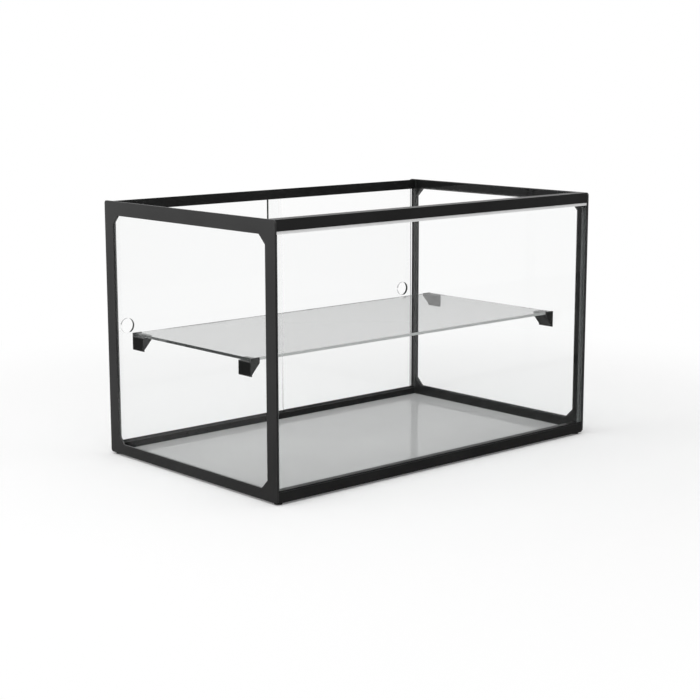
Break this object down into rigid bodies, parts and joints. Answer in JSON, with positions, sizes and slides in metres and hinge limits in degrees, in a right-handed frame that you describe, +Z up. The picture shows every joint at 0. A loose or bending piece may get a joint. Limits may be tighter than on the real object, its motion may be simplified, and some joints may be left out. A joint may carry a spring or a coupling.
{
  "type": "countertop display cabinet",
  "caption": "Open-topped glazed countertop display case: black steel frame, glass panes, a lift-out glass shelf on brackets and sliding rear doors with finger holes.",
  "frame": {"origin": "on the counter, under the middle of the frame's footprint", "axes": "+X along the long side to the right as the customer sees it, +Y to the back where the doors are, +Z up"},
  "size_m": [0.608, 0.384, 0.371],
  "materials": {
    "frame_paint": "fine satin black powder coat",
    "glass": "clear, polished edges",
    "floor_grey": "glossy light grey",
    "cap_white": "plain white",
    "clear_seal": "clear silicone",
    "black_plastic": "fine matt black",
    "black_rubber": "matt black"
  },
  "bodies": {
    "frame": {"end_frame_left": "frame_paint", "end_frame_right": "frame_paint", "top_rail_front": "frame_paint", "top_rail_rear": "frame_paint", "bottom_rail_front": "frame_paint", "bottom_rail_rear": "frame_paint", "bottom_rail_lip": "frame_paint", "floor_ledges": "frame_paint", "floor_panel": "floor_grey", "front_pane": "glass", "front_pane_cap": "cap_white", "front_pane_seat": "black_rubber", "end_pane_left": "glass", "end_pane_right": "glass", "end_tape_left": "black_rubber", "end_tape_right": "black_rubber", "corner_seals": "clear_seal", "door_track_top": "black_plastic", "door_track_bottom": "black_plastic", "door_buffers": "black_rubber", "bracket_left_front": "black_plastic", "bracket_left_rear": "black_plastic", "bracket_right_front": "black_plastic", "bracket_right_rear": "black_plastic", "bracket_tapes": "black_rubber", "shelf_pads": "clear_seal", "feet": "black_rubber"},
    "door_left": {"door_left": "glass"},
    "door_right": {"door_right": "glass"},
    "shelf": {"shelf_pane": "glass"}
  },
  "joints": [
    {"name": "door_left_slide", "type": "slide", "parent": "frame", "child": "door_left", "axis": [1, 0, 0], "range_m": [0, 0.288]},
    {"name": "door_right_slide", "type": "slide", "parent": "frame", "child": "door_right", "axis": [-1, 0, 0], "range_m": [0, 0.288]},
    {"name": "shelf_lift", "type": "slide", "parent": "frame", "child": "shelf", "axis": [0, 0, 1], "range_m": [0, 0.2]}
  ]
}
